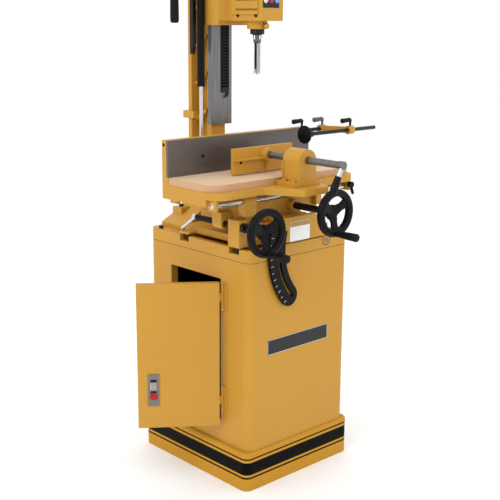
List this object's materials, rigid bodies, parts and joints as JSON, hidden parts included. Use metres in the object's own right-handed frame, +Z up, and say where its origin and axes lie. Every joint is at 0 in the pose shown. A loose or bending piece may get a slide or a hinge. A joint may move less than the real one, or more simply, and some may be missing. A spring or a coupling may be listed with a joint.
{
  "type": "floor-standing hollow chisel mortiser",
  "caption": "Mortiser with a ribbed column, sliding head with hollow chisel, tilting cross-slide table with vise, handwheels, work stop, and a cabinet base with a hinged door.",
  "frame": {"origin": "centre of the plinth's footprint, on the floor", "axes": "+Z up, +X to the machine's right, the operator stands at -Y"},
  "size_m": [0.8553, 0.6813, 1.905],
  "materials": {
    "gold_paint": "satin enamel over castings",
    "cabinet_paint": "satin enamel over sheet steel",
    "black_paint": "satin black enamel",
    "black_plastic": "moulded, fine grain",
    "ground_steel": "ground",
    "bright_steel": "polished bar",
    "dark_steel": "blackened",
    "fence_steel": "ground and darkened",
    "beech": "oiled board",
    "brass": "machined",
    "grey_paint": "satin grey",
    "light_plastic": "moulded",
    "red_plastic": "moulded"
  },
  "bodies": {
    "stand": {"plinth": "gold_paint", "cabinet": "cabinet_paint", "inner_shelf": "grey_paint", "cabinet_hinges": "bright_steel", "base_casting": "gold_paint", "base_bolts": "dark_steel", "tilt_pins": "ground_steel", "tilt_stop_screws": "dark_steel", "tilt_clamp_bolt": "dark_steel", "column_casting": "gold_paint", "column_way": "ground_steel", "feed_rack": "dark_steel", "strut_rod": "bright_steel"},
    "door": {"door_panel": "cabinet_paint", "door_hinge_knuckles": "bright_steel", "latch_plate": "light_plastic"},
    "door_paddle": {"latch_paddle": "light_plastic"},
    "door_button": {"latch_button": "red_plastic"},
    "tilt_base": {"tilt_casting": "gold_paint", "tilt_quadrant": "black_paint"},
    "cross_wheel": {"cross_screw": "dark_steel", "cross_handwheel": "black_paint"},
    "cross_grip": {"cross_wheel_grip": "black_plastic"},
    "saddle": {"saddle_casting": "gold_paint", "cross_nut": "brass", "cross_lock_sleeve": "black_paint"},
    "cross_lock": {"cross_lock_lever": "bright_steel"},
    "table_wheel": {"table_feed_shaft": "dark_steel", "table_handwheel": "black_paint"},
    "table_grip": {"table_wheel_grip": "black_plastic"},
    "table": {"table_casting": "gold_paint", "guide_rods": "bright_steel", "table_board": "beech", "fence_plate": "fence_steel", "table_rack": "dark_steel", "vise_body": "gold_paint", "vise_bolts": "dark_steel"},
    "table_lock": {"table_lock_lever": "black_paint"},
    "jaw": {"vise_jaw": "gold_paint"},
    "jaw_screw": {"vise_screw": "ground_steel"},
    "crank_grip": {"vise_crank_grip": "black_plastic"},
    "support": {"stop_support_rod": "bright_steel"},
    "fence_clamp": {"fence_clamp_lever": "black_plastic"},
    "arm": {"stop_arm": "gold_paint"},
    "arm_clamp": {"arm_clamp_lever": "black_plastic"},
    "stop_clamp": {"stop_clamp_lever": "black_plastic"},
    "work_stop": {"stop_rod": "dark_steel"},
    "head": {"head_casting": "gold_paint", "head_cover": "gold_paint", "depth_stop_bar": "dark_steel", "chisel_bushing": "dark_steel", "hollow_chisel": "ground_steel", "motor_body": "gold_paint", "motor_cowl": "black_paint", "gas_strut": "black_paint"},
    "feed": {"feed_pinion": "dark_steel", "feed_lever": "black_paint", "feed_lever_grip": "black_plastic"},
    "spindle": {"spindle": "ground_steel", "auger_bit": "ground_steel"}
  },
  "joints": [
    {"name": "door_hinge", "type": "hinge", "parent": "stand", "child": "door", "pos_m": [-0.20938, -0.1254, 0.4], "axis": [0, 0, 1], "range_deg": [-53, 80]},
    {"name": "latch_paddle_pull", "type": "hinge", "parent": "door", "child": "door_paddle", "pos_m": [-0.37671, -0.01846, 0.315], "axis": [-0.7986, 0.6018, 0], "range_deg": [0, 25], "stiffness_Nm_per_rad": 0.02},
    {"name": "latch_button_press", "type": "slide", "parent": "door", "child": "door_button", "axis": [0.6018, 0.7986, 0], "range_m": [0, 0.0025], "stiffness_N_per_m": 200},
    {"name": "table_tilt", "type": "hinge", "parent": "stand", "child": "tilt_base", "pos_m": [0.105, -0.07, 0.699], "axis": [0, 1, 0], "range_deg": [0, 35]},
    {"name": "cross_wheel_turn", "type": "hinge", "parent": "tilt_base", "child": "cross_wheel", "pos_m": [-0.198, -0.2, 0.773], "axis": [0, 1, 0], "range_deg": [-865, 2593]},
    {"name": "cross_slide", "type": "slide", "parent": "tilt_base", "child": "saddle", "axis": [0, 1, 0], "range_m": [-0.012, 0.036]},
    {"name": "cross_grip_spin", "type": "hinge", "parent": "cross_wheel", "child": "cross_grip", "pos_m": [-0.198, -0.33, 0.716], "axis": [0, 1, 0], "continuous": true},
    {"name": "cross_lock_turn", "type": "hinge", "parent": "saddle", "child": "cross_lock", "pos_m": [-0.198, 0.003, 0.773], "axis": [0, 1, 0], "range_deg": [0, 60]},
    {"name": "table_slide", "type": "slide", "parent": "saddle", "child": "table", "axis": [1, 0, 0], "range_m": [-0.095, 0.095]},
    {"name": "table_wheel_turn", "type": "hinge", "parent": "saddle", "child": "table_wheel", "pos_m": [0, -0.2, 0.812], "axis": [0, 1, 0], "range_deg": [-363, 363]},
    {"name": "table_grip_spin", "type": "hinge", "parent": "table_wheel", "child": "table_grip", "pos_m": [0, -0.4, 0.755], "axis": [0, 1, 0], "continuous": true},
    {"name": "table_lock_turn", "type": "hinge", "parent": "table", "child": "table_lock", "pos_m": [0.228, -0.2125, 0.848], "axis": [0, 1, 0], "range_deg": [-45, 45]},
    {"name": "jaw_slide", "type": "slide", "parent": "table", "child": "jaw", "axis": [0, 1, 0], "range_m": [-0.05, 0.015]},
    {"name": "jaw_screw_turn", "type": "hinge", "parent": "jaw", "child": "jaw_screw", "pos_m": [-0.034, -0.3, 0.953], "axis": [0, 1, 0], "range_deg": [-3601, 1081]},
    {"name": "crank_grip_spin", "type": "hinge", "parent": "jaw_screw", "child": "crank_grip", "pos_m": [-0.05855, -0.41, 0.90267], "axis": [0.4384, 0, 0.8988], "continuous": true},
    {"name": "support_rod_slide", "type": "slide", "parent": "table", "child": "support", "axis": [1, 0, 0], "range_m": [-0.01, 0.04]},
    {"name": "fence_clamp_turn", "type": "hinge", "parent": "table", "child": "fence_clamp", "pos_m": [0.232, 0, 1.01], "axis": [0, 0, 1], "range_deg": [-60, 60]},
    {"name": "stop_arm_swing", "type": "hinge", "parent": "support", "child": "arm", "pos_m": [0.325, 0, 0.991], "axis": [-1, 0, 0], "range_deg": [0, 40]},
    {"name": "arm_clamp_turn", "type": "hinge", "parent": "arm", "child": "arm_clamp", "pos_m": [0.325, 0, 1.01], "axis": [0, 0, 1], "range_deg": [-60, 60]},
    {"name": "stop_clamp_turn", "type": "hinge", "parent": "arm", "child": "stop_clamp", "pos_m": [0.325, -0.118, 1.02], "axis": [0, 0, 1], "range_deg": [-60, 60]},
    {"name": "stop_rod_slide", "type": "slide", "parent": "arm", "child": "work_stop", "axis": [1, 0, 0], "range_m": [-0.03, 0.06]},
    {"name": "head_slide", "type": "slide", "parent": "stand", "child": "head", "axis": [0, 0, 1], "range_m": [-0.13, 0], "stiffness_N_per_m": 900, "springref_m": 0.75},
    {"name": "feed_lever_turn", "type": "hinge", "parent": "head", "child": "feed", "pos_m": [-0.1, 0.08705, 1.65], "axis": [1, 0, 0], "range_deg": [0, 249]},
    {"name": "spindle_spin", "type": "hinge", "parent": "head", "child": "spindle", "pos_m": [0, -0.041, 1.4], "axis": [0, 0, 1], "continuous": true}
  ],
  "couplings": [
    {"joint": "cross_wheel_turn", "follows": "cross_slide", "rad_per_m": 1256.6},
    {"joint": "table_wheel_turn", "follows": "table_slide", "rad_per_m": 66.667},
    {"joint": "jaw_screw_turn", "follows": "jaw_slide", "rad_per_m": 1256.6},
    {"joint": "feed_lever_turn", "follows": "head_slide", "rad_per_m": -33.333}
  ]
}
